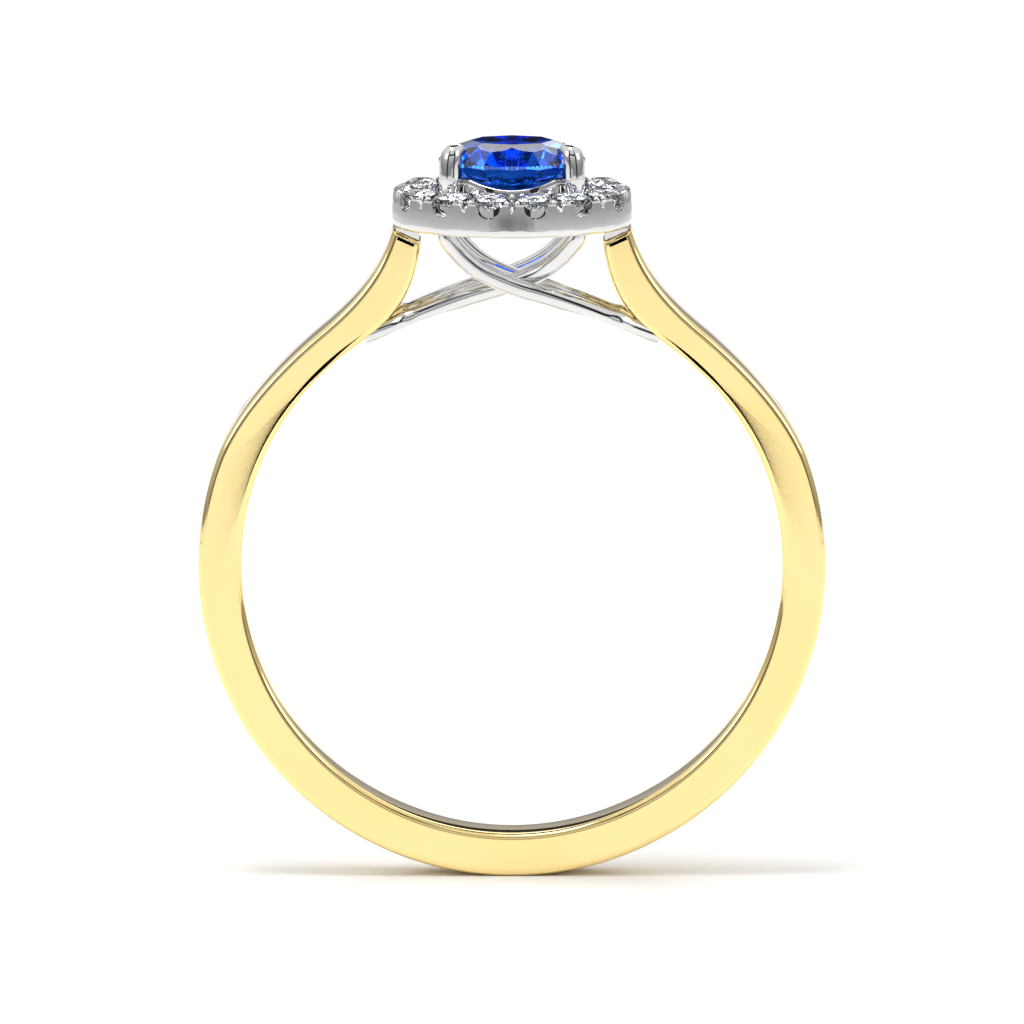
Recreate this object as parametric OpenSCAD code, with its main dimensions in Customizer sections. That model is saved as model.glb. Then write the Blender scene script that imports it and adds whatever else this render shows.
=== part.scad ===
// Halo engagement ring: yellow gold shank, white gold head, blue centre stone and fourteen small diamonds.
// Frame: origin at the centre of the finger bore, X across the ring, Y along the finger, Z up to the stone.

/* [Band] */
// Inside diameter of the band
inside_d = 17.0; // [16.4:0.1:18]
// Thickness of the band
band_t = 1.36; // [1.3:0.02:1.44]
// Width of the band along the finger
band_w = 2.2; // [2.0:0.05:2.6]
// Rounding of the band's long edges
edge_r = 0.2; // [0.1:0.02:0.24]
// Thickness of a shoulder just under the halo
shoulder_tip_t = 0.96; // [0.86:0.02:1.0]

/* [Halo] */
// Outside diameter of the halo
halo_d = 7.52; // [7.4:0.02:7.7]
// Height of the halo's rim above its underside
halo_h = 1.03; // [0.98:0.01:1.08]
// Diameter of each small diamond
diamond_d = 1.10; // [1.0:0.02:1.12]
// Angle between the two diamonds on either side of a claw
claw_gap_a = 27.5; // [27:0.1:28]
// Angle between the two front diamonds, and between the two at the back
front_gap_a = 23; // [22.5:0.1:23.5]

/* [Centre stone] */
// Diameter of the centre stone
stone_d = 4.6; // [4.3:0.05:4.66]
// Height of the centre stone's girdle above the halo's underside
stone_lift = 2.06; // [2.02:0.02:2.12]
// Radius of a claw beside the stone
claw_r = 0.35; // [0.3:0.01:0.36]

/* [Hidden] */
$fn = 64;
eps = 0.01;

yellow_gold = "#e9c665";
white_gold = "#d9dadd";
blue_sapphire = "#1238c4";
clear_diamond = "#e8f0f6";

bore_r = inside_d / 2;
band_r = bore_r + band_t;
halo_z = bore_r + 2.16;             // underside of the halo
rim_z = halo_z + halo_h;
halo_r = halo_d / 2;

// ---- vector and curve helpers ----

function unit(v) = v / norm(v);

// A point at t on the cubic curve through its four control points
function bezier_point(c, t) =
    pow(1 - t, 3) * c[0] + 3 * t * pow(1 - t, 2) * c[1] + 3 * t * t * (1 - t) * c[2] + t * t * t * c[3];

// A cubic curve from p along direction a, arriving at q along direction b, with handle lengths u and v
function curve(p, a, u, q, b, v, n) =
    [for (i = [0:n]) bezier_point([p, p + u * a, q - v * b, q], i / n)];

// The curve moved sideways by d, to the left of its own direction
function beside(c, d) = [
    for (i = [0:len(c) - 1])
        let (along = unit(c[min(i + 1, len(c) - 1)] - c[max(i - 1, 0)]))
        c[i] + d * [-along[1], along[0]]
];

function heading(a) = [cos(a), sin(a)];

// ---- shank ----

leave_a = 70;                       // from the top, where a shoulder's back leaves the round of the band
waist = [-6.10, bore_r - 1.17];     // turning point of the shoulder's S
tip_out = [-3.74, halo_z - 0.06];   // outer corner of a shoulder's cut top
tip_in = tip_out + shoulder_tip_t * heading(-24);
crotch_a = 34.5;                    // from the top, where a shoulder leaves the finger bore
curve_steps = 14;

function on_circle(r, a) = [-r * sin(a), r * cos(a)];

leave_r = band_r - 0.004;           // just inside the band's round, so the two outlines never share a corner

back_lower = curve(on_circle(leave_r, leave_a), heading(leave_a), 1.5, waist, heading(40), 1.6, curve_steps);
back_upper = curve(waist, heading(40), 1.5, tip_out, heading(73), 1.5, curve_steps);
shoulder_back = concat(back_lower, [for (i = [1:curve_steps]) back_upper[i]]);
shoulder_inside = concat(
    curve(tip_in, heading(-97), 1.7, on_circle(bore_r + 0.02, crotch_a), heading(-146), 1.4, curve_steps),
    [on_circle(bore_r - 0.5, crotch_a + 4)]
);

// Side outline of the left shoulder, taken in by inset all round
module shoulder_outline(inset) {
    polygon(concat(
        [on_circle(bore_r - 0.5, leave_a + 3), on_circle(bore_r + band_t / 2, leave_a + 3)],
        beside(shoulder_back, -inset),
        beside(shoulder_inside, -inset)
    ));
}

// Side outline of the whole shank, taken in by inset all round
module shank_outline(inset) {
    difference() {
        union() {
            difference() {
                circle(band_r - inset, $fn = 128);
                polygon([[0, 0], on_circle(2 * band_r, leave_a), on_circle(3 * band_r, 0), on_circle(2 * band_r, -leave_a)]);
            }
            shoulder_outline(inset);
            mirror([1, 0]) shoulder_outline(inset);
        }
        circle(bore_r + inset, $fn = 128);
    }
}

// Sockets in the shoulders that take the feet of the four wires
module wire_sockets() {
    for (w = [0:3])
        wire_frame(w)
            socket([for (stop = wire_route(w)) stop[0]]);
}

module socket(path) {
    foot = path[len(path) - 1];
    ankle = path[len(path) - 2];
    along = unit(foot - ankle);
    translate(ankle - 0.3 * along)
        rotate([0, acos(along[2]), atan2(along[1], along[0])])
            cylinder(h = norm(foot - ankle) + 0.34, r = ankle_r + 0.02, $fn = 32);
}

// The rounded long edges are built as steps that follow a quarter circle
module shank() {
    color(yellow_gold)
    difference() {
        for (a = [0, 35, 60, 90]) {
            inset = edge_r * (1 - cos(a));
            half_w = band_w / 2 - edge_r * (1 - sin(a));
            rotate([90, 0, 0])
                linear_extrude(2 * half_w, center = true)
                    shank_outline(inset);
        }
        wire_sockets();
    }
}

// ---- pads between the shoulders and the halo ----

pad_w = 1.5;

// White gold seat that closes the gap between a shoulder's cut top and the flat underside of the halo
module shoulder_pad() {
    color(white_gold)
    rotate([90, 0, 0])
        linear_extrude(pad_w, center = true)
            polygon([
                [tip_out[0] + 0.10, halo_z - eps],
                [tip_in[0] - 0.04, halo_z - eps],
                tip_in + [-0.04, 0.03],
                tip_out + [0.10, -0.03]
            ]);
}

// ---- claw wires ----

side_gap_a = 26.5;                  // from the diamond at the ring's side to the next one
claw_a = side_gap_a + claw_gap_a / 2;   // from the X axis to a claw, which stands between two diamonds
claw_axis_r = 2.54;                 // from the ring's upright axis to a claw beside the centre stone
claw_rim_r = 2.56;                  // where it passes the halo's rim
claw_base_r = 2.66;                 // where it leaves the halo's underside
girdle_z = halo_z + stone_lift;
neck_r = 0.28;                      // radius of a wire where it passes through the halo
arm_r = 0.30;                       // under the head
ankle_r = 0.25;                     // where it enters its shoulder
foot_r = 0.22;
finger_clear_r = bore_r - 0.215;    // the wires' undersides are dressed to this radius

// Point on a claw: distance from the upright axis, towards the front left, and height above the girdle
function on_claw(r, up) = [-r * cos(claw_a), -r * sin(claw_a), girdle_z + up];

// The wires are described for the front left one, from its claw's tip down.
// Each point comes with the wire's radius there.
front_tip = [
    [on_claw(1.98, 0.36), 0.09],
    [on_claw(2.10, 0.42), 0.19],
    [on_claw(2.30, 0.42), 0.28],
    [on_claw(2.47, 0.26), 0.34]
];
back_tip = [
    [on_claw(2.06, 0.24), 0.05],
    [on_claw(2.18, 0.23), 0.10],
    [on_claw(2.33, 0.14), 0.20],
    [on_claw(2.47, -0.02), 0.31]
];
claw_shaft = [
    [on_claw(claw_axis_r, -0.25), claw_r],
    [on_claw(claw_axis_r, -0.55), claw_r],
    [on_claw(claw_rim_r, rim_z + 0.2 - girdle_z), 0.31],
    [on_claw(claw_rim_r, rim_z - girdle_z), neck_r],
    [on_claw(claw_base_r, halo_z - girdle_z), neck_r]
];

// The leading wire crosses in front of the trailing one. Heights are measured from the finger bore.
leading_arm = [
    [[-1.93, -1.73, bore_r + 1.82], arm_r],
    [[-1.45, -1.71, bore_r + 1.26], arm_r],
    [[-0.85, -1.65, bore_r + 0.81], arm_r],
    [[0.15, -1.56, bore_r + 0.37], arm_r],
    [[1.40, -1.39, bore_r - 0.02], arm_r],
    [[2.60, -1.18, bore_r - 0.46], arm_r],
    [[3.60, -0.97, bore_r - 0.88], 0.28],
    [[4.20, -0.86, bore_r - 1.12], ankle_r],
    [[4.62, -0.80, bore_r - 1.28], foot_r]
];
trailing_arm = [
    [[-1.93, -1.68, bore_r + 1.82], arm_r],
    [[-1.45, -1.44, bore_r + 1.26], arm_r],
    [[-0.85, -1.16, bore_r + 0.81], arm_r],
    [[0.15, -0.93, bore_r + 0.36], arm_r],
    [[1.40, -0.86, bore_r - 0.03], arm_r],
    [[2.60, -0.84, bore_r - 0.46], arm_r],
    [[3.60, -0.82, bore_r - 0.88], 0.28],
    [[4.20, -0.80, bore_r - 1.12], ankle_r],
    [[4.62, -0.80, bore_r - 1.28], foot_r]
];

wire_sides = 16;
steps_per_span = 3;

// Smooth curve through p at position t, counted in spans
function along_route(p, t) =
    let (
        last = len(p) - 1,
        i = min(floor(t), last - 1),
        u = t - i,
        a = p[max(i - 1, 0)],
        b = p[i],
        c = p[i + 1],
        d = p[min(i + 2, last)]
    )
    0.5 * ((2 * b) + (c - a) * u + (2 * a - 5 * b + 4 * c - d) * u * u + (3 * b - a - 3 * c + d) * u * u * u);

// Moves a point that would press into the finger out to the dressed radius
function dressed(p) =
    let (r = norm([p[0], p[2]]))
    r < finger_clear_r ? [p[0] * finger_clear_r / r, p[1], p[2] * finger_clear_r / r] : p;

// Radius of the centre stone at a height above its girdle's middle
stone_r = stone_d / 2;
stone_crown = stone_d * 0.13;
stone_table_r = stone_d * 0.285;
stone_girdle = 0.07;
function stone_profile(up) =
    up > 0
        ? stone_r - max(up - stone_girdle / 2, 0) * (stone_r - stone_table_r) / stone_crown
        : stone_r - max(-up - stone_girdle / 2, 0) / tan(pavilion_a);

// Moves a point out of the centre stone, which leaves the notch that holds the stone's girdle
function notched(p) =
    let (r = norm([p[0], p[1]]), limit = stone_profile(p[2] - girdle_z) + eps)
    p[2] > girdle_z - 0.3 && p[2] < girdle_z + 0.3 && r < limit ? [p[0] * limit / r, p[1] * limit / r, p[2]] : p;

// One ring of the swept wire
function ring_points(centre, r, along) =
    let (
        across = unit(cross(along, [0, 1, 0])),
        up = cross(across, along)
    )
    [
        for (k = [0:wire_sides - 1])
            let (a = 360 * k / wire_sides)
            notched(dressed(centre + r * (across * cos(a) + up * sin(a))))
    ];

// Sweeps a round wire along route, a list of points with a radius at each
module swept_wire(route) {
    path = [for (stop = route) stop[0]];
    radii = [for (stop = route) stop[1]];
    n = (len(path) - 1) * steps_per_span;
    centres = [for (i = [0:n]) along_route(path, i / steps_per_span)];
    rings = [
        for (i = [0:n])
            ring_points(
                centres[i],
                along_route(radii, i / steps_per_span),
                unit(centres[min(i + 1, n)] - centres[max(i - 1, 0)])
            )
    ];
    tip = centres[0] + 0.06 * unit(centres[0] - centres[1]);
    points = concat([tip], [for (ring = rings) each ring], [centres[n]]);
    last_point = len(points) - 1;
    last_ring = 1 + n * wire_sides;
    polyhedron(points, concat(
        [for (k = [0:wire_sides - 1]) [0, 1 + k, 1 + (k + 1) % wire_sides]],
        [for (i = [0:n - 1], k = [0:wire_sides - 1])
            let (k2 = (k + 1) % wire_sides, a = 1 + i * wire_sides)
            each [[a + k, a + wire_sides + k, a + wire_sides + k2], [a + k, a + wire_sides + k2, a + k2]]],
        [for (k = [0:wire_sides - 1]) [last_point, last_ring + (k + 1) % wire_sides, last_ring + k]]
    ));
}

// Wires by number: 0 front left, 1 front right, 2 back right, 3 back left.
// Opposite wires are the same shape turned half round, but for the lower tips of the back claws.
function wire_route(w) = concat(
    w < 2 ? front_tip : back_tip,
    claw_shaft,
    w % 2 == 0 ? leading_arm : trailing_arm
);

module wire_frame(w) {
    rotate([0, 0, w < 2 ? 0 : 180])
        mirror([w % 2, 0, 0])
            children();
}

module claw_wire(w) {
    color(white_gold)
        wire_frame(w)
            swept_wire(wire_route(w));
}

// ---- halo ----

halo_bore_r = 2.30;
corner_r = 0.18;                    // rounding of the halo's lower outer corner
web_hole_r = 0.45;                  // opening in the thin web that closes the halo below the collet
web_t = 0.19;
stone_circle_r = 3.17;              // circle on which the small diamonds are set
deck_z = rim_z - 0.06;
pavilion_a = 41;
seat_z = rim_z + 0.10;              // girdle of the small diamonds
notch_r = 0.38;
notch_z = halo_z + 0.61;            // lowest point of each scallop
grain_r = 0.10;

// Diamonds and gaps by angle round one quarter, from the X axis to the Y axis
quarter_diamonds = [0, side_gap_a, side_gap_a + claw_gap_a, 90 - front_gap_a / 2];
quarter_gaps = [side_gap_a / 2, claw_a, (quarter_diamonds[2] + quarter_diamonds[3]) / 2, 90];

// The same angles right round, with no angle twice
diamond_angles = concat(
    quarter_diamonds,
    [for (i = [3:-1:0]) 180 - quarter_diamonds[i]],
    [for (i = [1:3]) 180 + quarter_diamonds[i]],
    [for (i = [3:-1:1]) 360 - quarter_diamonds[i]]
);
claw_angles = [claw_a, 180 - claw_a, 180 + claw_a, 360 - claw_a];
open_gap_angles = concat(
    [for (g = [quarter_gaps[0], quarter_gaps[2]]) each [g, 180 - g, 180 + g, 360 - g]],
    [quarter_gaps[3], 180 + quarter_gaps[3]]
);

module halo_section() {
    translate([web_hole_r, halo_z])
        square([halo_bore_r - web_hole_r + eps, web_t]);
    difference() {
        translate([halo_bore_r, halo_z])
            square([halo_r - halo_bore_r, deck_z - halo_z]);
        translate([halo_r - corner_r, halo_z + corner_r])
            difference() {
                translate([0, -corner_r - eps])
                    square([corner_r + eps, corner_r + eps]);
                circle(corner_r);
            }
    }
}

module grain(angle, r, top) {
    rotate([0, 0, angle])
        translate([r, 0, deck_z - 0.1]) {
            cylinder(h = top - deck_z + 0.1, r = grain_r, $fn = 24);
            translate([0, 0, top - deck_z + 0.1]) sphere(grain_r, $fn = 24);
        }
}

// Seat of one small diamond: a cone for its pavilion, an open hole below, and a scallop in the wall
module diamond_seat() {
    r = diamond_d / 2 + eps;
    depth = r * tan(pavilion_a);
    translate([stone_circle_r, 0, seat_z - depth])
        cylinder(h = depth, r1 = 0, r2 = r);
    translate([stone_circle_r, 0, seat_z])
        cylinder(h = 1, r = r);
    translate([stone_circle_r, 0, halo_z - 1])
        cylinder(h = 2, r = 0.2, $fn = 32);
    translate([stone_circle_r + 0.28, 0, notch_z + notch_r])
        rotate([0, 90, 0])
            cylinder(h = 1, r = notch_r, $fn = 32);
}

// Leaning hole for the claw wire that passes through the halo at angle a
module claw_hole(a, r) {
    lean = atan((claw_base_r - claw_rim_r) / halo_h);
    rotate([0, 0, a])
        translate([claw_base_r, 0, halo_z])
            rotate([0, -lean, 0])
                translate([0, 0, -1])
                    cylinder(h = 4, r = r, $fn = 32);
}

module halo_plate() {
    color(white_gold)
    difference() {
        union() {
            rotate_extrude($fn = 128) halo_section();
            for (a = concat(claw_angles, open_gap_angles), s = [-1, 1])
                grain(a + s * 2.8, halo_r - 0.14, rim_z);
            for (a = open_gap_angles)
                grain(a, 2.62, rim_z + 0.16);
        }
        for (a = diamond_angles)
            rotate([0, 0, a]) diamond_seat();
        for (a = claw_angles)
            claw_hole(a, neck_r + 0.02);
    }
}

// ---- centre collet ----

collet_wall = 0.27;
collet_top = halo_z + 1.67;
dip_r = 3.2;                        // curve of the collet's rim between two claws
dip_z = halo_z + 1.38;              // lowest point of that rim

module centre_collet() {
    outer = halo_bore_r - eps;
    color(white_gold)
    difference() {
        translate([0, 0, halo_z + 0.2])
            cylinder(h = collet_top - halo_z - 0.2, r = outer, $fn = 96);
        translate([0, 0, halo_z])
            cylinder(h = 3, r = outer - collet_wall, $fn = 96);
        for (a = [0, 90])
            rotate([0, 0, a])
                translate([0, 0, dip_z + dip_r])
                    rotate([90, 0, 0])
                        cylinder(h = 8, r = dip_r, center = true, $fn = 96);
        for (a = claw_angles)
            rotate([0, 0, a])
                translate([claw_axis_r, 0, halo_z - 1])
                    cylinder(h = 4, r = claw_r + eps, $fn = 32);
    }
}

// ---- stones ----

// Points of one ring of a brilliant, n of them, starting at angle a
function gem_ring(n, r, z, a) = [for (k = [0:n - 1]) [r * cos(a + 360 * k / n), r * sin(a + 360 * k / n), z]];

// Round brilliant of radius r with its girdle's middle at the origin.
// crown is its height above the girdle, table_r its flat top's radius.
module brilliant(r, crown, table_r, girdle) {
    top = girdle / 2;
    culet = -top - r * tan(pavilion_a);
    star_r = (table_r + r) / 2;
    star_z = top + crown * (r - star_r * cos(22.5)) / (r - table_r);
    main_r = 0.22 * r;
    main_z = culet + (-top - culet) * main_r * cos(22.5) / r;
    points = concat(
        gem_ring(8, table_r, top + crown, 0),
        gem_ring(8, star_r, star_z, 22.5),
        gem_ring(16, r, top, 0),
        gem_ring(16, r, -top, 0),
        gem_ring(8, main_r, main_z, 22.5),
        [[0, 0, culet]]
    );
    T = 0; S = 8; G = 16; H = 32; P = 48; C = 56;
    polyhedron(points, concat(
        [[for (k = [7:-1:0]) T + k]],
        [for (k = [0:7]) let (n = (k + 1) % 8) [T + k, T + n, S + k]],
        [for (k = [0:7]) let (b = (k + 7) % 8) each [[T + k, S + k, G + 2 * k], [T + k, G + 2 * k, S + b]]],
        [for (k = [0:7]) let (g = 2 * k, n = (g + 2) % 16) each [[S + k, G + g + 1, G + g], [S + k, G + n, G + g + 1]]],
        [for (k = [0:15]) let (n = (k + 1) % 16) each [[G + k, G + n, H + n], [G + k, H + n, H + k]]],
        [for (k = [0:7]) let (g = 2 * k, n = (g + 2) % 16) each [[P + k, H + g, H + g + 1], [P + k, H + g + 1, H + n]]],
        [for (k = [0:7]) let (b = (k + 7) % 8) each [[C, H + 2 * k, P + k], [C, P + b, H + 2 * k]]]
    ));
}

module sapphire() {
    color(blue_sapphire)
        translate([0, 0, girdle_z])
            brilliant(stone_r, stone_crown, stone_table_r, stone_girdle);
}

module diamond(i) {
    color(clear_diamond)
        rotate([0, 0, diamond_angles[i]])
            translate([stone_circle_r, 0, seat_z + 0.01])
                brilliant(diamond_d / 2, diamond_d * 0.15, diamond_d * 0.28, 0.02);
}

shank();
shoulder_pad();  // left_shoulder_pad
mirror([1, 0, 0]) shoulder_pad();  // right_shoulder_pad
claw_wire(0);  // front_left_claw_wire
claw_wire(1);  // front_right_claw_wire
claw_wire(2);  // back_right_claw_wire
claw_wire(3);  // back_left_claw_wire
halo_plate();
centre_collet();
sapphire();
for (i = [0:13])
    diamond(i);
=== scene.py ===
"""Engagement ring: a yellow gold shank, a white gold head, a round sapphire and fourteen small diamonds.

Lengths are in millimetres up to the point where a mesh is made, which is in metres.
"""
import logging
import math
from dataclasses import dataclass
from enum import Enum

import bmesh
import bpy
from mathutils import Matrix, Vector


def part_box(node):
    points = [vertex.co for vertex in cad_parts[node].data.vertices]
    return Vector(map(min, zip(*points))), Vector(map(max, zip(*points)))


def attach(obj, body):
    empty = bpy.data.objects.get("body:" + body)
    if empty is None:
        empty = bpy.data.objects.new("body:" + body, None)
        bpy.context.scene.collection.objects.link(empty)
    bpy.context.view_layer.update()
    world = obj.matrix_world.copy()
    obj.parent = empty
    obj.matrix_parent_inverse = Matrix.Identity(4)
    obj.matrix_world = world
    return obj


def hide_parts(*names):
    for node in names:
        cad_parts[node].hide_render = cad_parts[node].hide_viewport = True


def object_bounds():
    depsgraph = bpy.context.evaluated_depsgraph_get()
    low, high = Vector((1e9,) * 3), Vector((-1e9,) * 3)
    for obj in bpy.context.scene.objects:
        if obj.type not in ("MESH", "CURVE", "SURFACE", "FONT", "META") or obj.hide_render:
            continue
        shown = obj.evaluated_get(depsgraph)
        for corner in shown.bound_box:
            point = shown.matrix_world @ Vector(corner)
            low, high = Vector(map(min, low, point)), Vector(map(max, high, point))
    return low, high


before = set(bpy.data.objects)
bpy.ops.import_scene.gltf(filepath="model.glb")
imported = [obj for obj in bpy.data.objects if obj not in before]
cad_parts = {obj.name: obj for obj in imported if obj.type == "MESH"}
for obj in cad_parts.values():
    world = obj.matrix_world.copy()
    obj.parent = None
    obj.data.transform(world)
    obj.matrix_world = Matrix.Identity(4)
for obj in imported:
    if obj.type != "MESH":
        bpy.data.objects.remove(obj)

MM = 0.001
BODY = "root"
BORE_R = 8.5  # finger bore
HALO_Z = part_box("halo_plate")[0][2] / MM  # underside of the halo
RIM_Z = HALO_Z + 1.03  # height that the halo's grains and claws are placed from
GIRDLE_Z = HALO_Z + 2.06  # middle of the sapphire's girdle
PAVILION_A = 41.0  # slope of the stones' lower facets, in degrees
CLAW_A = 40.25  # the claws' angle from the X axis, in degrees
log = logging.getLogger("ring")

Flat = tuple[float, float]
Colour = tuple[float, float, float]
Place = tuple[float, float, float]
Stop = tuple[Vector, float]


def gap_between(a: float, b: float) -> float:
    """Gives the smaller angle between two directions, in degrees."""
    return abs((a - b + 180) % 360 - 180)


def as_lists(box: tuple) -> list[list[float]]:
    """Gives a box's two corners as plain lists of numbers."""
    return [[float(value) for value in corner] for corner in box]


CAD_BOX = as_lists(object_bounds())


class Slot(Enum):
    """The record's material slots."""

    YELLOW_GOLD = "yellow_gold"
    WHITE_GOLD = "white_gold"
    SAPPHIRE = "blue_sapphire"
    DIAMOND = "diamond"


# ---- finishes ----


@dataclass(frozen=True)
class PolishedMetal:
    """Polished precious metal with faint polishing grain and slightly uneven gloss."""

    name: str
    colour: Colour
    worn: Colour
    gloss: Flat
    grain_size: float = 900.0
    grain_depth: float = 0.0000003

    def make(self) -> bpy.types.Material:
        """Makes the metal.

        Returns:
            The new material.
        """
        material = bpy.data.materials.new(self.name)
        material.use_nodes = True
        nodes, links = material.node_tree.nodes, material.node_tree.links
        shader = nodes["Principled BSDF"]
        shader.inputs["Metallic"].default_value = 1.0
        place = nodes.new("ShaderNodeTexCoord")
        cloud = nodes.new("ShaderNodeTexNoise")
        cloud.inputs["Scale"].default_value = self.grain_size / 3
        cloud.inputs["Detail"].default_value = 3.0
        grain = nodes.new("ShaderNodeTexNoise")
        grain.inputs["Scale"].default_value = self.grain_size * 4
        grain.inputs["Detail"].default_value = 4.0
        for texture in (cloud, grain):
            links.new(place.outputs["Object"], texture.inputs["Vector"])
        tint = nodes.new("ShaderNodeValToRGB")
        tint.color_ramp.elements[0].position = 0.3
        tint.color_ramp.elements[0].color = (*self.worn, 1)
        tint.color_ramp.elements[1].position = 0.7
        tint.color_ramp.elements[1].color = (*self.colour, 1)
        links.new(cloud.outputs["Fac"], tint.inputs["Fac"])
        links.new(tint.outputs["Color"], shader.inputs["Base Color"])
        gloss = nodes.new("ShaderNodeMapRange")
        gloss.inputs["To Min"].default_value = self.gloss[0]
        gloss.inputs["To Max"].default_value = self.gloss[1]
        links.new(grain.outputs["Fac"], gloss.inputs["Value"])
        links.new(gloss.outputs["Result"], shader.inputs["Roughness"])
        bump = nodes.new("ShaderNodeBump")
        bump.inputs["Strength"].default_value = 0.15
        bump.inputs["Distance"].default_value = self.grain_depth
        links.new(grain.outputs["Fac"], bump.inputs["Height"])
        links.new(bump.outputs["Normal"], shader.inputs["Normal"])
        return material


@dataclass(frozen=True)
class CutStone:
    """Clear faceted stone, its tint drifting a little through its body: natural colour zoning in the
    sapphire, painted blue fire in the diamonds, standing in for the sparks of split light.
    """

    name: str
    colour: Colour
    deep_tint_and_blue_fire: Colour
    ior: float

    def make(self) -> bpy.types.Material:
        """Makes the stone.

        Returns:
            The new material.
        """
        material = bpy.data.materials.new(self.name)
        material.use_nodes = True
        nodes, links = material.node_tree.nodes, material.node_tree.links
        shader = nodes["Principled BSDF"]
        shader.inputs["Roughness"].default_value = 0.0
        shader.inputs["IOR"].default_value = self.ior
        shader.inputs["Transmission Weight"].default_value = 1.0
        place = nodes.new("ShaderNodeTexCoord")
        # A noise drifts the colour towards the second tint: natural zoning in the sapphire, painted blue
        # fire (sparks of split light) in the diamonds.
        zoning_and_fire = nodes.new("ShaderNodeTexNoise")
        zoning_and_fire.inputs["Scale"].default_value = 500.0
        zoning_and_fire.inputs["Detail"].default_value = 1.0
        tint = nodes.new("ShaderNodeValToRGB")
        tint.color_ramp.elements[0].position = 0.35
        tint.color_ramp.elements[0].color = (*self.deep_tint_and_blue_fire, 1)
        tint.color_ramp.elements[1].position = 0.65
        tint.color_ramp.elements[1].color = (*self.colour, 1)
        links.new(place.outputs["Object"], zoning_and_fire.inputs["Vector"])
        links.new(zoning_and_fire.outputs["Fac"], tint.inputs["Fac"])
        links.new(tint.outputs["Color"], shader.inputs["Base Color"])
        return material


@dataclass(frozen=True)
class StudioSurface:
    """Plain surface of the studio, not of the ring."""

    name: str
    colour: Colour
    roughness: float = 0.6
    specular: float = 0.1
    glow: float = 0.0

    def make(self) -> bpy.types.Material:
        """Makes the surface.

        Returns:
            The new material.
        """
        material = bpy.data.materials.new(self.name)
        material.use_nodes = True
        shader = material.node_tree.nodes["Principled BSDF"]
        shader.inputs["Base Color"].default_value = (*self.colour, 1)
        shader.inputs["Roughness"].default_value = self.roughness
        shader.inputs["Specular IOR Level"].default_value = self.specular
        shader.inputs["Emission Color"].default_value = (*self.colour, 1)
        shader.inputs["Emission Strength"].default_value = self.glow
        return material


# ---- shared geometry ----


def heading(degrees: float) -> Vector:
    """Gives the unit direction at an angle in a flat outline."""
    return Vector((math.cos(math.radians(degrees)), math.sin(math.radians(degrees))))


def on_circle(radius: float, degrees: float) -> Vector:
    """Gives the point on a circle at an angle left of the top, as (x, z)."""
    return Vector((-radius * math.sin(math.radians(degrees)), radius * math.cos(math.radians(degrees))))


def curve(p: Vector, a: Vector, u: float, q: Vector, b: Vector, v: float, steps: int) -> list[Vector]:
    """Draws a cubic curve.

    Args:
        p: First point.
        a: Direction at the first point.
        u: Length of the first handle.
        q: Last point.
        b: Direction at the last point.
        v: Length of the last handle.
        steps: Number of pieces to cut the curve into.

    Returns:
        The points of the curve, both ends included.
    """
    c = [p, p + u * a, q - v * b, q]
    points = []
    for i in range(steps + 1):
        t = i / steps
        s = 1 - t
        points.append(s ** 3 * c[0] + 3 * t * s * s * c[1] + 3 * t * t * s * c[2] + t ** 3 * c[3])
    return points


def inset_loop(loop: list[Vector], distance: float) -> list[Vector]:
    """Takes a closed outline that turns to the left in by a distance, with mitred corners.

    Args:
        loop: Points of the outline.
        distance: How far each side moves inwards.

    Returns:
        The points of the smaller outline.
    """
    sharpest = 0.35
    result = []
    for i, point in enumerate(loop):
        before = (point - loop[i - 1]).normalized()
        after = (loop[(i + 1) % len(loop)] - point).normalized()
        n1 = Vector((-before.y, before.x))
        n2 = Vector((-after.y, after.x))
        middle = (n1 + n2).normalized()
        result.append(point + middle * distance / max(middle.dot(n1), sharpest))
    return result


def make_mesh(name: str, points: list, faces: list, crease: float = 35.0) -> bpy.types.Object:
    """Makes a smooth object from points in millimetres.

    Args:
        name: Name of the piece.
        points: Points as (x, y, z).
        faces: Point numbers of each face.
        crease: Edges that turn by more than this, in degrees, stay sharp.

    Returns:
        The new object, linked to the scene.
    """
    mesh = bpy.data.meshes.new(name)
    mesh.from_pydata([[c * MM for c in point] for point in points], [], faces)
    built = bmesh.new()
    built.from_mesh(mesh)
    bmesh.ops.recalc_face_normals(built, faces=built.faces)
    wide = [face for face in built.faces if len(face.verts) > 4]
    bmesh.ops.triangulate(built, faces=wide)
    built.to_mesh(mesh)
    built.free()
    for polygon in mesh.polygons:
        polygon.use_smooth = True
    mesh.set_sharp_from_angle(angle=math.radians(crease))
    piece = bpy.data.objects.new(name, mesh)
    bpy.context.scene.collection.objects.link(piece)
    return piece


def dress(piece: bpy.types.Object, material: bpy.types.Material, slot: Slot, *nodes: str) -> None:
    """Gives a piece its finish, hangs it on the ring's body and hides the CAD nodes that it replaces.

    Args:
        piece: The object.
        material: Its finish.
        slot: The record's slot for that finish; not used.
        nodes: The CAD nodes that it replaces.
    """
    piece.data.materials.clear()
    piece.data.materials.append(material)
    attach(piece, BODY)
    if nodes:
        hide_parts(*nodes)
    log.info("%s: %d faces", piece.name, len(piece.data.polygons))


def ring_faces(rings: int, sides: int, closed: bool) -> list[tuple[int, ...]]:
    """Joins rings of points with four-sided faces.

    Args:
        rings: Number of rings, one after another in the list of points.
        sides: Number of points in each ring.
        closed: Whether the last ring joins the first.

    Returns:
        The faces.
    """
    faces = []
    for i in range(rings if closed else rings - 1):
        j = (i + 1) % rings
        for k in range(sides):
            n = (k + 1) % sides
            faces.append((i * sides + k, j * sides + k, j * sides + n, i * sides + n))
    return faces


# ---- shank ----


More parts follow.
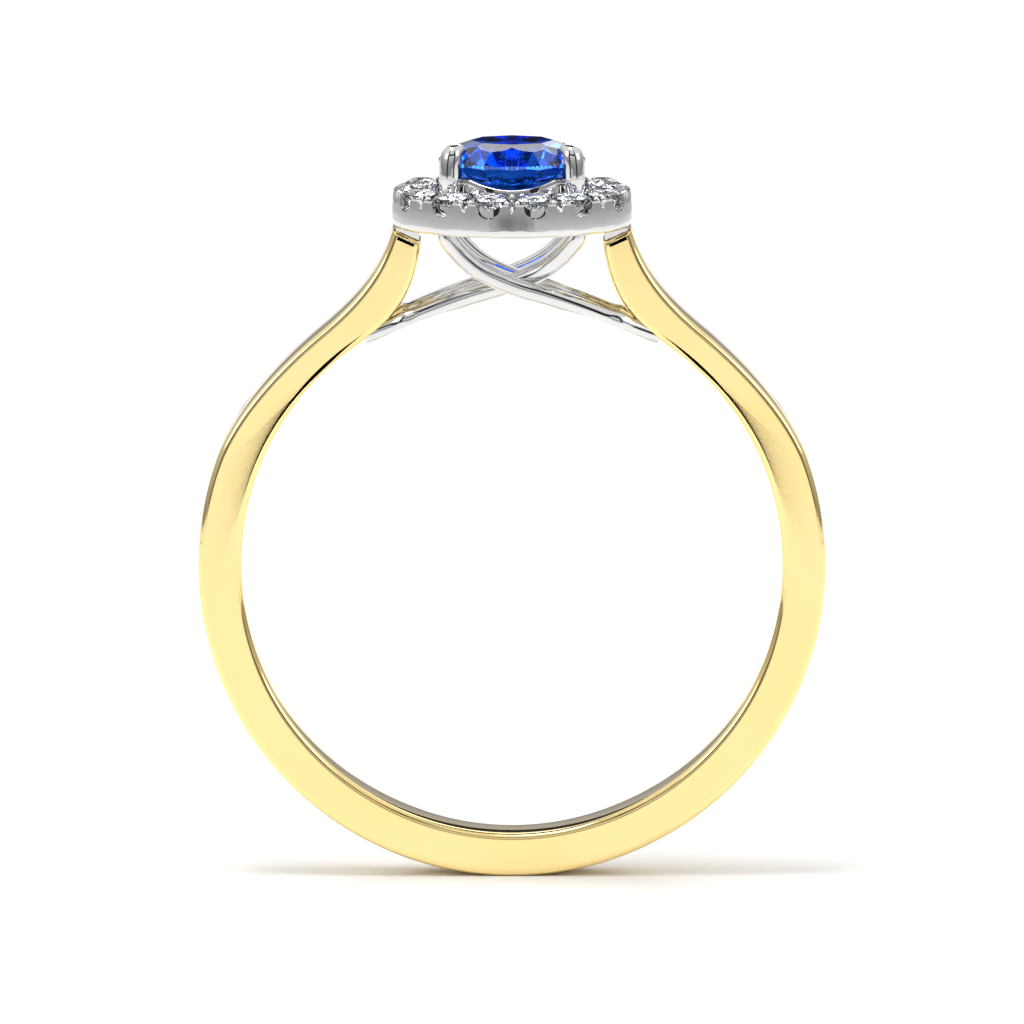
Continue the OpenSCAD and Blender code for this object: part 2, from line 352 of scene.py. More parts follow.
@dataclass
class Shank:
    """Yellow gold band with swept shoulders, one closed outline with rounded long edges."""

    band_t: float = 1.36
    band_w: float = 2.2
    edge_r: float = 0.2
    tip_t: float = 0.96
    leave_a: float = 70.0
    crotch_a: float = 34.5
    steps: int = 44
    arc_steps: int = 240
    edge_steps: int = 7

    @property
    def tip_out(self) -> Vector:
        """Outer corner of a shoulder's cut top."""
        return Vector((-3.74, HALO_Z - 0.06))

    @property
    def tip_in(self) -> Vector:
        """Inner corner of a shoulder's cut top."""
        return self.tip_out + self.tip_t * heading(-24)

    def left_back(self) -> list[Vector]:
        """Draws the left shoulder's back.

        Returns:
            Points from the cut top down to where the round of the band begins.
        """
        waist = Vector((-6.10, BORE_R - 1.17))
        start = on_circle(BORE_R + self.band_t, self.leave_a)
        lower = curve(start, heading(self.leave_a), 1.5, waist, heading(40), 1.6, self.steps)
        upper = curve(waist, heading(40), 1.5, self.tip_out, heading(73), 1.5, self.steps)
        return list(reversed(lower + upper[1:]))

    def left_inside(self) -> list[Vector]:
        """Draws the left shoulder's inside.

        Returns:
            Points from the cut top down to the finger bore.
        """
        crotch = on_circle(BORE_R, self.crotch_a)
        return curve(self.tip_in, heading(-97), 1.7, crotch, heading(-146), 1.4, 2 * self.steps)

    def arc(self, radius: float, start: float) -> list[Vector]:
        """Draws the round part of the band, from the left side under the finger to the right side.

        Args:
            radius: Its radius.
            start: Where it starts left of the top and ends right of it, in degrees.

        Returns:
            Its points, both ends left out.
        """
        sweep = (360 - 2 * start) / self.arc_steps
        return [on_circle(radius, start + sweep * i) for i in range(1, self.arc_steps)]

    def outline(self) -> list[Vector]:
        """Draws the whole outline.

        Returns:
            Points of the closed outline: the outer side first, then as many on the inner side.
        """
        back = self.left_back()
        inside = self.left_inside()
        outer_arc = self.arc(BORE_R + self.band_t, self.leave_a)
        inner_arc = list(reversed(self.arc(BORE_R, self.crotch_a)))
        right_back = [Vector((-p.x, p.y)) for p in reversed(back)]
        right_inside = [Vector((-p.x, p.y)) for p in inside]
        return back + outer_arc + right_back + right_inside + inner_arc + list(reversed(inside))

    def build(self, gold: bpy.types.Material) -> None:
        """Builds the shank.

        Args:
            gold: Its finish.
        """
        loop = self.outline()
        profile = []
        for k in range(self.edge_steps + 1):
            a = math.radians(90 * k / self.edge_steps)
            inset = self.edge_r * (1 - math.sin(a))
            profile.append((inset, -self.band_w / 2 + self.edge_r * (1 - math.cos(a))))
        profile += [(inset, -y) for inset, y in reversed(profile)]
        points = []
        for inset, y in profile:
            points += [(p.x, y, p.y) for p in inset_loop(loop, inset)]
        faces = ring_faces(len(profile), len(loop), False)
        for first in (0, (len(profile) - 1) * len(loop)):
            for i in range(len(loop) // 2 - 1):
                outer, inner = first + i, first + len(loop) - 1 - i
                faces.append((outer, outer + 1, inner - 1, inner))
        piece = make_mesh("polished_shank", points, faces)
        self.crisp_faces(piece)
        dress(piece, gold, Slot.YELLOW_GOLD, "shank")

    def crisp_faces(self, piece: bpy.types.Object) -> None:
        """Keeps the two flat sides truly flat, up to the start of the rounded edges.

        Args:
            piece: The shank.
        """
        slack = 0.001
        limit = (self.band_w / 2 - slack) * MM
        mesh = piece.data
        for polygon in mesh.polygons:
            if all(abs(mesh.vertices[v].co.y) > limit for v in polygon.vertices):
                polygon.use_smooth = False


@dataclass
class ShoulderPads:
    """White gold seats between the shoulders' cut tops and the halo."""

    shank: Shank
    width: float = 1.5
    bevel: float = 0.02
    lap: float = 0.03

    def build(self, metal: bpy.types.Material) -> None:
        """Builds both pads.

        Args:
            metal: Their finish.
        """
        top = HALO_Z - 0.005
        out, inner = self.shank.tip_out, self.shank.tip_in
        left, right = out.x + 0.10, inner.x - 0.04
        outline = [(left, top), (right, top), (right, inner.y + self.lap), (left, out.y - self.lap)]
        half = self.width / 2
        for side, name in ((1, "left"), (-1, "right")):
            points = [(side * x, y, z) for y in (-half, half) for x, z in outline]
            faces = [(0, 1, 2, 3), (4, 5, 6, 7), *ring_faces(2, 4, False)]
            piece = make_mesh(f"{name}_seat_pad", points, faces)
            rounded = bmesh.new()
            rounded.from_mesh(piece.data)
            bmesh.ops.bevel(rounded, geom=rounded.edges[:], offset=self.bevel * MM, segments=3,
                            affect="EDGES")
            rounded.to_mesh(piece.data)
            rounded.free()
            dress(piece, metal, Slot.WHITE_GOLD, f"{name}_shoulder_pad")


# ---- claw wires ----


@dataclass
class ClawWires:
    """Four white gold wires that hold the sapphire, pass through the halo and cross under it."""

    arm_r: float = 0.30
    stone_r: float = 2.3
    stone_crown: float = 0.598
    table_r: float = 1.311
    girdle: float = 0.07
    notch_h: float = 0.3
    under_slope: float = 1.15
    ease: float = 0.005
    clear_r: float = 8.285
    sides: int = 36
    steps: int = 9
    dome_h: float = 0.06
    fillet: float = 0.07
    fillet_x: float = 3.35
    fillet_w: float = 0.22

    def on_claw(self, radius: float, up: float) -> Vector:
        """Gives a point on the front left claw, at a radius and a height above the girdle."""
        a = math.radians(CLAW_A)
        return Vector((-radius * math.cos(a), -radius * math.sin(a), GIRDLE_Z + up))

    def claw(self, front: bool) -> list[Stop]:
        """Describes a claw from its tip down to the halo's underside.

        Args:
            front: Whether it is one of the two front claws, whose tips ride higher.

        Returns:
            Points with the wire's radius at each.
        """
        if front:
            tip = [(1.98, 0.36, 0.09), (2.10, 0.42, 0.19), (2.30, 0.42, 0.28), (2.47, 0.26, 0.34)]
        else:
            tip = [(2.06, 0.24, 0.05), (2.18, 0.23, 0.10), (2.33, 0.14, 0.20), (2.47, -0.02, 0.31)]
        rim, base = RIM_Z - GIRDLE_Z, HALO_Z - GIRDLE_Z
        shaft = [(2.54, -0.25, 0.35), (2.54, -0.55, 0.35), (2.56, rim + 0.2, 0.31), (2.56, rim, 0.28),
                 (2.66, base, 0.28)]
        return [(self.on_claw(r, up), size) for r, up, size in tip + shaft]

    def arm(self, leading: bool) -> list[Stop]:
        """Describes an arm from under the halo to its foot in the far shoulder.

        Args:
            leading: Whether the arm crosses in front of the other one.

        Returns:
            Points with the wire's radius at each.
        """
        depth = (1.73, 1.71, 1.65, 1.56, 1.39, 1.18, 0.97, 0.86, 0.80)
        if not leading:
            depth = (1.68, 1.44, 1.16, 0.93, 0.86, 0.84, 0.82, 0.80, 0.80)
        along = (-1.93, -1.45, -0.85, 0.15, 1.40, 2.60, 3.60, 4.20, 4.62)
        rise = (1.82, 1.26, 0.81, 0.37, -0.02, -0.46, -0.88, -1.12, -1.28)
        size = (self.arm_r,) * 6 + (0.28, 0.25, 0.22)
        return [(Vector((x, -y, BORE_R + z)), r) for x, y, z, r in zip(along, depth, rise, size)]

    @staticmethod
    def between(values: list, i: int, t: float) -> Vector | float:
        """Follows the smooth curve through a list of values.

        Args:
            values: Points or numbers.
            i: Number of the value to start from.
            t: How far towards the next value, from 0 to 1.

        Returns:
            The point or number there.
        """
        a, b = values[max(i - 1, 0)], values[i]
        c, d = values[i + 1], values[min(i + 2, len(values) - 1)]
        rest = (2 * a - 5 * b + 4 * c - d) * t * t + (3 * b - a - 3 * c + d) * t ** 3
        return 0.5 * (2 * b + (c - a) * t + rest)

    def fitted(self, point: Vector) -> Vector:
        """Moves a point of the surface out of the finger's room and out of the sapphire.

        Args:
            point: The point.

        Returns:
            The point where the finished wire has it.
        """
        reach = math.hypot(point.x, point.z)
        if reach < self.clear_r:
            scale = self.clear_r / reach
            return Vector((point.x * scale, point.y, point.z * scale))
        up = point.z - GIRDLE_Z
        if abs(up) < self.notch_h:
            above = (self.stone_r - self.table_r) / self.stone_crown
            slope = above if up > 0 else self.under_slope
            limit = self.stone_r - max(abs(up) - self.girdle / 2, 0) * slope + self.ease
            reach = math.hypot(point.x, point.y)
            if reach < limit:
                return Vector((point.x * limit / reach, point.y * limit / reach, point.z))
        return point

    def sweep(self, stops: list[Stop]) -> tuple[list[Vector], list[tuple[int, ...]]]:
        """Sweeps a round wire with a domed tip along its stops.

        Args:
            stops: Points with the wire's radius at each.

        Returns:
            The points and the faces.
        """
        centres, sizes = [], []
        path, radii = [p for p, _ in stops], [r for _, r in stops]
        for i in range(len(stops) - 1):
            for step in range(self.steps):
                centres.append(self.between(path, i, step / self.steps))
                sizes.append(self.between(radii, i, step / self.steps))
        centres.append(path[-1])
        sizes.append(radii[-1])
        dome = (centres[0] - centres[1]).normalized()
        first, first_r = centres[0], sizes[0]
        for lift in (0.4, 0.75, 0.95):
            centres.insert(0, first + dome * self.dome_h * lift)
            sizes.insert(0, first_r * math.sqrt(1 - lift * lift))
        points = []
        for i, centre in enumerate(centres):
            along = (centres[min(i + 1, len(centres) - 1)] - centres[max(i - 1, 0)]).normalized()
            across = along.cross(Vector((0, 1, 0))).normalized()
            up = across.cross(along)
            off = (centre.x - self.fillet_x) / self.fillet_w
            swell = self.fillet * math.exp(-off * off) if centre.z < BORE_R else 0
            for k in range(self.sides):
                a = math.tau * k / self.sides
                edge = (sizes[i] + swell) * (across * math.cos(a) + up * math.sin(a))
                points.append(self.fitted(centre + edge))
        faces = ring_faces(len(centres), self.sides, False)
        last = (len(centres) - 1) * self.sides
        faces.append(tuple(range(self.sides)))
        faces.append(tuple(range(last, last + self.sides)))
        return points, faces

    def build(self, metal: bpy.types.Material) -> None:
        """Builds the four wires.

        Args:
            metal: Their finish.
        """
        places = (("front_left", 1, 1, True, True), ("front_right", -1, 1, True, False),
                  ("back_right", -1, -1, False, True), ("back_left", 1, -1, False, False))
        for name, sx, sy, front, leading in places:
            points, faces = self.sweep(self.claw(front) + self.arm(leading))
            placed = [(p.x * sx, p.y * sy, p.z) for p in points]
            piece = make_mesh(f"{name}_claw", placed, faces, 60.0)
            dress(piece, metal, Slot.WHITE_GOLD, f"{name}_claw_wire")


# ---- halo ----


@dataclass
class Halo:
    """White gold ring of seats with a scalloped wall, fishtail notches and raised grains."""

    outer_r: float = 3.76
    bore_r: float = 2.30
    stone_circle_r: float = 3.17
    stone_r: float = 0.55
    seat_z: float = HALO_Z + 1.13
    seat_gap: float = 0.01
    seat_floor: float = 0.3
    corner_r: float = 0.18
    scallop_r: float = 0.38
    scallop_z: float = HALO_Z + 0.61
    scallop_in_r: float = 3.42
    scallop_run: float = 0.4
    deck_z: float = HALO_Z + 0.97
    wall_r: float = 3.50
    wall_h: float = 0.09
    wall_slope_w: float = 0.10
    lip_r: float = 0.05
    web_hole_r: float = 0.48
    web_t: float = 0.19
    recess_r: float = 0.26
    recess_depth: float = 0.42
    recess_slope_w: float = 0.06
    wall_grain_r: float = 3.60
    wall_grain_turn: float = 2.7
    wall_grain_up: float = 0.03
    deck_grain_r: float = 2.62
    deck_grain_up: float = 0.14
    grain_size: Place = (0.11, 0.095, 0.13)
    fishtail_w: float = 0.13
    fishtail_h: float = 0.24
    turns: int = 900

    def quarter(self) -> tuple[list[float], list[float]]:
        """Gives the angles of the diamonds and of the gaps in one quarter, from the X axis."""
        diamonds = [0.0, 26.5, 54.0, 78.5]
        return diamonds, [13.25, CLAW_A, 66.25, 90.0]

    def diamond_angles(self) -> list[float]:
        """Gives the diamonds' angles right round, in the order of the CAD nodes."""
        q = self.quarter()[0]
        return q + [180 - a for a in q[::-1]] + [180 + a for a in q[1:]] + [360 - a for a in q[:0:-1]]

    def gap_angles(self) -> list[float]:
        """Gives the angles of the gaps between diamonds right round."""
        q = self.quarter()[1]
        return q + [180 - a for a in q[2::-1]] + [180 + a for a in q] + [360 - a for a in q[2::-1]]

    def nearest_stone(self, r: float, degrees: float) -> Flat:
        """Measures how far a place is from the nearest diamond's axis.

        Args:
            r: Distance from the upright axis.
            degrees: Angle from the X axis.

        Returns:
            The distance, and the angle round the halo in degrees.
        """
        turn = min(gap_between(degrees, a) for a in self.diamond_angles())
        across = 2 * r * self.stone_circle_r * math.cos(math.radians(turn))
        return math.sqrt(r * r + self.stone_circle_r ** 2 - across), turn

    def top(self, r: float, degrees: float) -> float:
        """Gives the height of the halo's upper surface.

        Args:
            r: Distance from the upright axis.
            degrees: Angle from the X axis.

        Returns:
            The height of the deck, a seat, a scallop or the wall's crest there.
        """
        away, stone = self.nearest_stone(r, degrees)
        gap = min(gap_between(degrees, a) for a in self.gap_angles())
        beside_stone = r * math.radians(stone)
        beside_gap = r * math.radians(gap)
        wall = min(max((r - self.wall_r) / self.wall_slope_w, 0), 1)
        notch = max(1 - beside_gap / self.fishtail_w, 0)
        height = self.deck_z + wall * (self.wall_h - self.fishtail_h * notch)
        if r > self.outer_r - self.lip_r:
            lean = (r - self.outer_r + self.lip_r) / self.lip_r
            height -= self.lip_r * (1 - math.sqrt(max(1 - lean * lean, 0)))
        seat_r = self.stone_r + self.seat_gap
        if away < seat_r:
            cone = self.seat_z - (seat_r - away) * math.tan(math.radians(PAVILION_A))
            height = min(height, max(cone, HALO_Z + self.seat_floor))
        if r > self.scallop_in_r and beside_stone < self.scallop_r:
            floor = self.scallop_z + self.scallop_r - math.sqrt(self.scallop_r ** 2 - beside_stone ** 2)
            height = min(height, floor + self.scallop_run * max(self.wall_r - r, 0))
        return height

    def under(self, r: float, degrees: float) -> float:
        """Gives the height of the underside, which has a round recess under each diamond.

        Args:
            r: Distance from the upright axis.
            degrees: Angle from the X axis.

        Returns:
            The height.
        """
        away = self.nearest_stone(r, degrees)[0]
        return HALO_Z + self.recess_depth * min(max((self.recess_r - away) / self.recess_slope_w, 0), 1)

    def loop(self, degrees: float) -> list[Flat]:
        """Draws the halo's section at an angle.

        Args:
            degrees: Angle from the X axis.

        Returns:
            Points of the closed section as (radius, height).
        """
        deck_steps, wall_steps, corner_steps, under_steps = 34, 12, 5, 36
        width = self.outer_r - self.bore_r
        points = []
        for i in range(deck_steps + 1):
            r = self.bore_r + width * (i / deck_steps)
            points.append((r, self.top(r, degrees)))
        crest = points[-1][1]
        foot = HALO_Z + self.corner_r
        for i in range(1, wall_steps + 1):
            points.append((self.outer_r, crest + (foot - crest) * i / wall_steps))
        for i in range(1, corner_steps + 1):
            a = math.radians(90 * i / corner_steps)
            r = self.outer_r - self.corner_r * (1 - math.cos(a))
            points.append((r, foot - self.corner_r * math.sin(a)))
        inner = self.outer_r - self.corner_r
        for i in range(1, under_steps + 1):
            r = inner + (self.web_hole_r - inner) * i / under_steps
            points.append((r, self.under(r, degrees)))
        web_top = HALO_Z + self.web_t
        points += [(self.web_hole_r - 0.03, HALO_Z + self.web_t / 2), (self.web_hole_r, web_top)]
        points.append((self.bore_r, web_top))
        points += [(self.bore_r, web_top + (self.deck_z - web_top) * i / 4) for i in (1, 2, 3)]
        return points

    def build(self, metal: bpy.types.Material) -> None:
        """Builds the halo and its grains.

        Args:
            metal: Their finish.
        """
        points, sides = [], 0
        for i in range(self.turns):
            degrees = 360 * i / self.turns
            loop = self.loop(degrees)
            sides = len(loop)
            c, s = math.cos(math.radians(degrees)), math.sin(math.radians(degrees))
            points += [(r * c, r * s, z) for r, z in loop]
        piece = make_mesh("scalloped_halo", points, ring_faces(self.turns, sides, True), 40.0)
        dress(piece, metal, Slot.WHITE_GOLD, "halo_plate")
        self.build_grains(metal)

    def build_grains(self, metal: bpy.types.Material) -> None:
        """Builds the small raised grains that grip the diamonds.

        Args:
            metal: Their finish.
        """
        claws = (CLAW_A, 180 - CLAW_A, 180 + CLAW_A, 360 - CLAW_A)
        grains = []
        for gap in self.gap_angles():
            for side in (-self.wall_grain_turn, self.wall_grain_turn):
                grains.append((gap + side, self.wall_grain_r, RIM_Z + self.wall_grain_up))
            if all(abs(gap - claw) > 1 for claw in claws):
                grains.append((gap, self.deck_grain_r, RIM_Z + self.deck_grain_up))
        heap = bmesh.new()
        for degrees, r, z in grains:
            a = math.radians(degrees)
            place = Matrix.Translation(Vector((r * math.cos(a), r * math.sin(a), z)) * MM)
            turn = Matrix.Rotation(a, 4, "Z")
            shape = Matrix.Diagonal((*(half * MM for half in self.grain_size), 1))
            bmesh.ops.create_icosphere(heap, subdivisions=3, radius=1.0, matrix=place @ turn @ shape)
        mesh = bpy.data.meshes.new("halo_grains")
        heap.to_mesh(mesh)
        heap.free()
        for polygon in mesh.polygons:
            polygon.use_smooth = True
        piece = bpy.data.objects.new("halo_grains", mesh)
        bpy.context.scene.collection.objects.link(piece)
        dress(piece, metal, Slot.WHITE_GOLD)


@dataclass
class Collet:
    """White gold cup under the sapphire, its rim dipping between the claws."""

    outer_r: float = 2.285
    wall: float = 0.27
    dip_r: float = 3.2
    dip_z: float = HALO_Z + 1.38
    top_z: float = HALO_Z + 1.67
    turns: int = 256

    def crest(self, degrees: float) -> float:
        """Gives the rim's height.

        Args:
            degrees: Angle from the X axis.

        Returns:
            The height there.
        """
        a = math.radians(degrees)
        height = self.top_z
        for across in (self.outer_r * math.cos(a), self.outer_r * math.sin(a)):
            height = min(height, self.dip_z + self.dip_r - math.sqrt(self.dip_r ** 2 - across ** 2))
        return height

    def build(self, metal: bpy.types.Material) -> None:
        """Builds the collet.

        Args:
            metal: Its finish.
        """
        bottom, edge, half = HALO_Z + 0.2, 0.06, self.wall / 2
        points, sides = [], 0
        for i in range(self.turns):
            degrees = 360 * i / self.turns
            crest = self.crest(degrees)
            low = crest - edge
            loop = [(self.outer_r, bottom + (low - bottom) * k / 8) for k in range(9)]
            for k in range(1, 12):
                a = math.pi * k / 12
                loop.append((self.outer_r - half + half * math.cos(a), low + edge * math.sin(a)))
            loop += [(self.outer_r - self.wall, low + (bottom - low) * k / 8) for k in range(9)]
            sides = len(loop)
            c, s = math.cos(math.radians(degrees)), math.sin(math.radians(degrees))
            points += [(r * c, r * s, z) for r, z in loop]
        piece = make_mesh("centre_cup", points, ring_faces(self.turns, sides, True), 50.0)
        dress(piece, metal, Slot.WHITE_GOLD, "centre_collet")


# ---- stones ----


@dataclass
class Brilliant:
    """Round brilliant cut, built by cutting flat facets off a round blank."""

    radius: float
    crown: float
    table_r: float
    girdle: float
    girdle_sides: int = 96

    def planes(self) -> list[tuple[Vector, Vector]]:
        """Lists the facets.

        Returns:
            A point on each facet with the facet's outward direction.
        """
        r, top = self.radius, self.girdle / 2
        main = math.degrees(math.atan2(self.crown, r - self.table_r))
        brow = 0.03 * r
        rows = [(8, 0, main, r, top + brow), (16, 11.25, main + 5.5, r, top),
                (8, 22.5, main - 12.5, self.table_r * math.cos(math.pi / 8), top + self.crown),
                (8, 0, -PAVILION_A, r, -top - brow), (16, 11.25, -PAVILION_A - 1.2, r, -top)]
        facets = []
        for count, start, slope, reach, height in rows:
            for k in range(count):
                a = math.radians(start + 360 * k / count)
                out, up = math.sin(math.radians(abs(slope))), math.cos(math.radians(slope))
                way = Vector((out * math.cos(a), out * math.sin(a), math.copysign(up, slope)))
                facets.append((Vector((reach * math.cos(a), reach * math.sin(a), height)), way))
        facets.append((Vector((0, 0, top + self.crown)), Vector((0, 0, 1))))
        return facets

    def cut(self, name: str, place: Matrix) -> bpy.types.Object:
        """Cuts one stone.

        Args:
            name: Name of the piece.
            place: Where it stands, with its girdle's middle at the origin, in millimetres.

        Returns:
            The stone.
        """
        stone = bmesh.new()
        bmesh.ops.create_cone(stone, cap_ends=True, segments=self.girdle_sides, radius1=self.radius,
                              radius2=self.radius, depth=4 * self.radius)
        for point, way in self.planes():
            geometry = stone.verts[:] + stone.edges[:] + stone.faces[:]
            cut = bmesh.ops.bisect_plane(stone, geom=geometry, dist=1e-6, plane_co=point,
                                         plane_no=way, clear_outer=True)
            edges = [e for e in cut["geom_cut"] if isinstance(e, bmesh.types.BMEdge)]
            if edges:
                bmesh.ops.edgeloop_fill(stone, edges=edges)
        bmesh.ops.recalc_face_normals(stone, faces=stone.faces)
        mesh = bpy.data.meshes.new(name)
        stone.transform(Matrix.Scale(MM, 4) @ place)
        stone.to_mesh(mesh)
        stone.free()
        piece = bpy.data.objects.new(name, mesh)
        bpy.context.scene.collection.objects.link(piece)
        return piece


@dataclass
class Stones:
    """The sapphire and the fourteen diamonds of the halo."""

    halo: Halo

    def build(self, blue: bpy.types.Material, clear: bpy.types.Material) -> None:
        """Cuts and places every stone.

        Args:
            blue: The sapphire's finish.
            clear: The diamonds' finish.
        """
        centre = Brilliant(radius=2.3, crown=0.598, table_r=1.311, girdle=0.07)
        piece = centre.cut("centre_sapphire", Matrix.Translation((0, 0, GIRDLE_Z)))
        dress(piece, blue, Slot.SAPPHIRE, "sapphire")
        small = Brilliant(radius=self.halo.stone_r, crown=0.165, table_r=0.308, girdle=0.02,
                          girdle_sides=48)
        for i, degrees in enumerate(self.halo.diamond_angles(), start=1):
            place = Matrix.Rotation(math.radians(degrees), 4, "Z") @ Matrix.Translation(
                (self.halo.stone_circle_r, 0, self.halo.seat_z + 0.01))
            piece = small.cut(f"halo_stone_{i:02d}", place)
            dress(piece, clear, Slot.DIAMOND, f"diamond_{i:02d}")


# ---- studio ----


@dataclass
class Studio:
    """Pale floor, white room, dark cards for the metal to reflect, soft lights and the camera."""

    floor_z: float
    view_height: float = 1.57
    elevation: float = 7.4
    distance: float = 800.0
    lens: float = 894.0
    card_r: float = 300.0

    def room(self) -> None:
        """Lights everything softly from a pale room that is greyer towards the horizon."""
        world = bpy.data.worlds.new("pale_room")
        world.use_nodes = True
        nodes, links = world.node_tree.nodes, world.node_tree.links
        place = nodes.new("ShaderNodeTexCoord")
        parts = nodes.new("ShaderNodeSeparateXYZ")
        ramp = nodes.new("ShaderNodeValToRGB")
        ramp.color_ramp.elements[0].position = 0.02
        ramp.color_ramp.elements[0].color = (0.30, 0.30, 0.31, 1)
        ramp.color_ramp.elements[1].position = 0.5
        ramp.color_ramp.elements[1].color = (0.90, 0.90, 0.90, 1)
        links.new(place.outputs["Generated"], parts.inputs["Vector"])
        links.new(parts.outputs["Z"], ramp.inputs["Fac"])
        links.new(ramp.outputs["Color"], nodes["Background"].inputs["Color"])
        nodes["Background"].inputs["Strength"].default_value = 1.0
        bpy.context.scene.world = world

    def floor(self) -> None:
        """Lays the floor under the ring."""
        size, z = 3000.0, self.floor_z
        points = [(-size, -size, z), (size, -size, z), (size, size, z), (-size, size, z)]
        piece = make_mesh("floor", points, [(0, 1, 2, 3)])
        piece.data.materials.append(StudioSurface("pale_floor", (0.865, 0.86, 0.852), 0.4, 0.12).make())

    def card(self, name: str, shade: float, turn: Flat, lift: Flat) -> None:
        """Hangs a curved card that only the polished surfaces see.

        Args:
            name: Name of the card.
            shade: How pale it is.
            turn: Where it starts and ends round the ring, in degrees right of the front.
            lift: Where it starts and ends above the horizon, in degrees.
        """
        steps = 12
        points = []
        for j in range(steps + 1):
            up = math.radians(lift[0] + (lift[1] - lift[0]) * j / steps)
            for i in range(steps + 1):
                a = math.radians(turn[0] + (turn[1] - turn[0]) * i / steps)
                way = Vector((math.sin(a) * math.cos(up), -math.cos(a) * math.cos(up), math.sin(up)))
                points.append(way * self.card_r)
        n = steps + 1
        faces = [(j * n + i, j * n + i + 1, (j + 1) * n + i + 1, (j + 1) * n + i)
                 for j in range(steps) for i in range(steps)]
        self.hide(make_mesh(name, points, faces), shade)

    def strips(self) -> None:
        """Lays nested ring cards on the floor for the halo's wall to reflect, and dark ones in front."""
        whole, steps, lift = 180, 96, 0.02
        rings = ((176.0, 193.0, whole, 0.58), (178.5, 192.0, whole, 0.42), (182.0, 191.0, whole, 0.30),
                 (177.0, 183.0, 22, 0.24), (178.0, 182.0, 15, 0.12))
        for i, (near, far, spread, shade) in enumerate(rings):
            z = self.floor_z + lift * (i + 1)
            points = []
            for k in range(steps + 1):
                share = 2 * k / steps - 1
                taper = 0.0 if spread == whole else (far - near) / 2 * (1 - math.sqrt(1 - share * share))
                a = math.radians(spread * share)
                points += [(r * math.sin(a), -r * math.cos(a), z) for r in (near + taper, far - taper)]
            faces = [(2 * k, 2 * k + 1, 2 * k + 3, 2 * k + 2) for k in range(steps)]
            self.hide(make_mesh(f"low_card_{i + 1}", points, faces), shade)

    @staticmethod
    def hide(piece: bpy.types.Object, shade: float) -> None:
        """Makes a card of paper that only the polished surfaces see.

        Args:
            piece: The card.
            shade: How pale it is.
        """
        paper = StudioSurface(f"{piece.name}_paper", (shade, shade, shade), 0.9, 0.0)
        piece.data.materials.append(paper.make())
        piece.visible_camera = False
        piece.visible_diffuse = False
        piece.visible_shadow = False
        piece.visible_transmission = False

    def glint(self, name: str, colour: Colour, glow: float, turn: float, lift: float) -> None:
        """Hangs a small bright card that only shows through the stones, for the sparks of light in them.

        Args:
            name: Name of the card.
            colour: Its colour.
            glow: How brightly it shines.
            turn: Where it hangs round the ring, in degrees right of the front.
            lift: Where it hangs above the horizon, in degrees.
        """
        self.card(name, 0.0, (turn - 12, turn + 12), (lift - 8, lift + 8))
        piece = bpy.data.objects[name]
        piece.data.materials[0] = StudioSurface(f"{name}_light", colour, 0.9, 0.0, glow).make()
        piece.visible_glossy = False
        piece.visible_transmission = True

    def light(self, name: str, place: Place, size: float, power: float) -> None:
        """Hangs a soft light that points at the head of the ring.

        Args:
            name: Name of the light.
            place: Where it hangs, in millimetres.
            size: Length of its side, in millimetres.
            power: Its power in watts.
        """
        lamp = bpy.data.lights.new(name, "AREA")
        lamp.energy = power
        lamp.size = size * MM
        holder = bpy.data.objects.new(name, lamp)
        holder.location = Vector(place) * MM
        holder.rotation_euler = (Vector((0, 0, 5)) - Vector(place)).to_track_quat("-Z", "Y").to_euler()
        bpy.context.scene.collection.objects.link(holder)

    def camera(self) -> None:
        """Sets up the camera at the front, a little above the ring."""
        lens = bpy.data.cameras.new("front_camera")
        lens.lens = self.lens
        lens.sensor_width = 36.0
        lens.clip_start = 0.01
        lens.clip_end = 50.0
        holder = bpy.data.objects.new("front_camera", lens)
        up = math.radians(self.elevation)
        away = Vector((0, -math.cos(up), math.sin(up)))
        holder.location = (Vector((0, 0, self.view_height)) + away * self.distance) * MM
        holder.rotation_euler = away.to_track_quat("Z", "Y").to_euler()
        bpy.context.scene.collection.objects.link(holder)
        bpy.context.scene.camera = holder

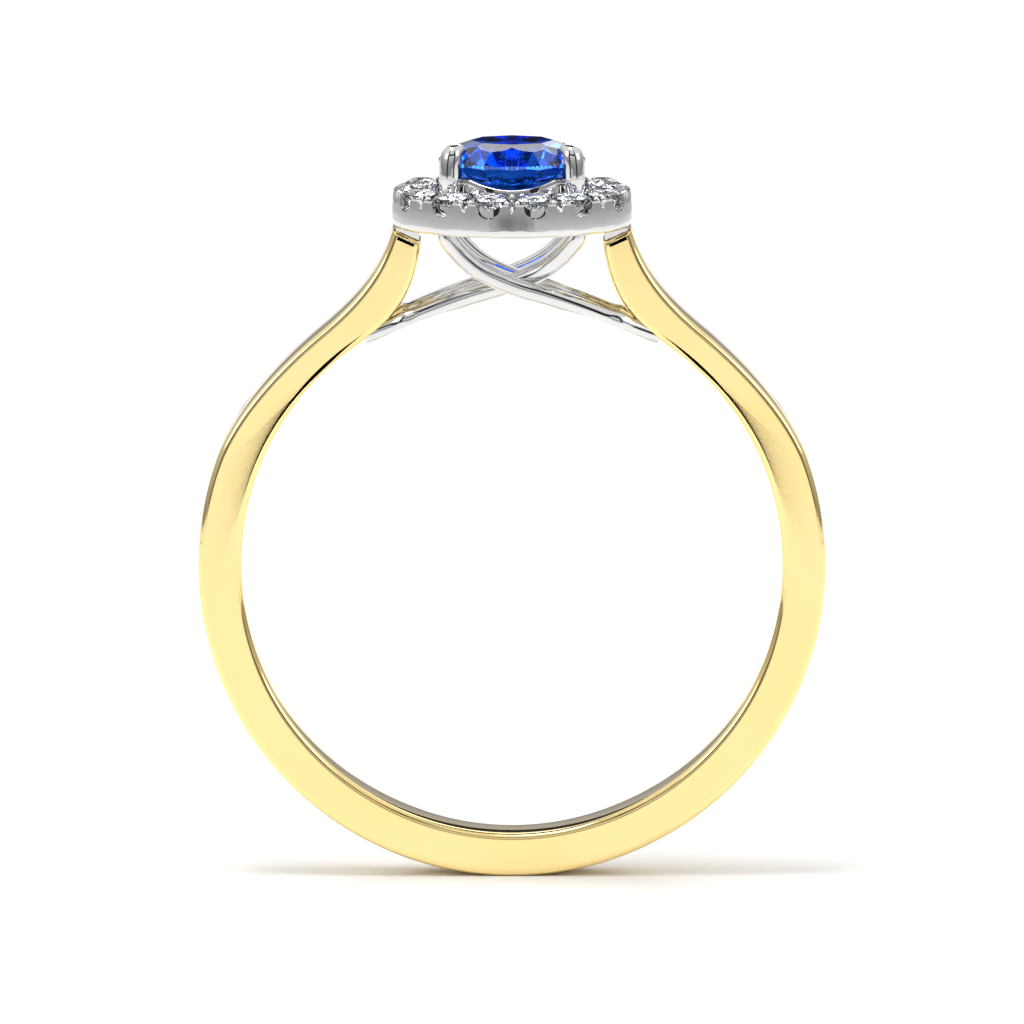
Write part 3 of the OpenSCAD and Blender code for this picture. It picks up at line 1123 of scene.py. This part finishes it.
    def build(self) -> None:
        """Sets up the whole studio."""
        bpy.context.scene.view_settings.view_transform = "Standard"
        self.room()
        self.floor()
        dark = 0.03
        self.card("left_dark_card", dark, (-40, -26), (-30, 60))
        self.card("right_dark_card", dark, (26, 40), (-30, 60))
        self.card("upper_dark_card", dark, (-26, 26), (30, 40))
        self.card("back_dark_card", 0.02, (170, 190), (8.0, 12.5))
        self.strips()
        self.card("rear_upper_dark_card", dark, (140, 220), (50, 84))
        blue, blue_glow = (0.04, 0.36, 0.95), 1.6
        blue_places = ((-70, 35), (35, 62), (115, 40), (-140, 55), (75, 20), (-20, 70))
        for i, (turn, lift) in enumerate(blue_places):
            self.glint(f"blue_glint_{i + 1}", blue, blue_glow, turn, lift)
        white, white_glow = (1.0, 1.0, 1.0), 6.0
        white_places = ((0, 52), (-45, 45), (55, 40), (-100, 62), (100, 68), (180, 62),
                        (0, 18), (-55, 14), (55, 14), (150, 30), (-160, 28))
        for i, (turn, lift) in enumerate(white_places):
            self.glint(f"white_glint_{i + 1}", white, white_glow, turn, lift)
        self.light("overhead_softbox", (-60, -30, 420), 150, 0.88)
        self.light("left_softbox", (-420, -220, 260), 220, 0.36)
        self.light("right_softbox", (420, -160, 240), 220, 0.30)
        self.light("back_softbox", (60, 420, 260), 260, 0.30)
        self.camera()


def main() -> None:
    """Builds the ring piece by piece, then the studio round it."""
    logging.basicConfig(level=logging.INFO, format="%(name)s: %(message)s")
    yellow = PolishedMetal("polished_yellow_gold", colour=(1.0, 0.805, 0.385),
                           worn=(0.985, 0.765, 0.335), gloss=(0.03, 0.08)).make()
    white = PolishedMetal("polished_white_gold", colour=(0.76, 0.76, 0.755),
                          worn=(0.69, 0.69, 0.69), gloss=(0.012, 0.04)).make()
    blue = CutStone("royal_blue_sapphire", (0.015, 0.17, 0.80), (0.004, 0.06, 0.62), 1.77).make()
    # The diamonds' bluish second tint is painted blue fire: sparks of split light painted into the
    # stone's colour.
    clear = CutStone("clear_diamond_stone", (1.0, 1.0, 1.0), (0.90, 0.94, 1.0), 2.42).make()
    shank = Shank()
    shank.build(yellow)
    ShoulderPads(shank).build(white)
    ClawWires().build(white)
    halo = Halo()
    halo.build(white)
    Collet().build(white)
    Stones(halo).build(blue, clear)
    Studio(floor_z=CAD_BOX[0][2] / MM).build()
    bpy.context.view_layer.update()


if __name__ == "__main__":
    main()
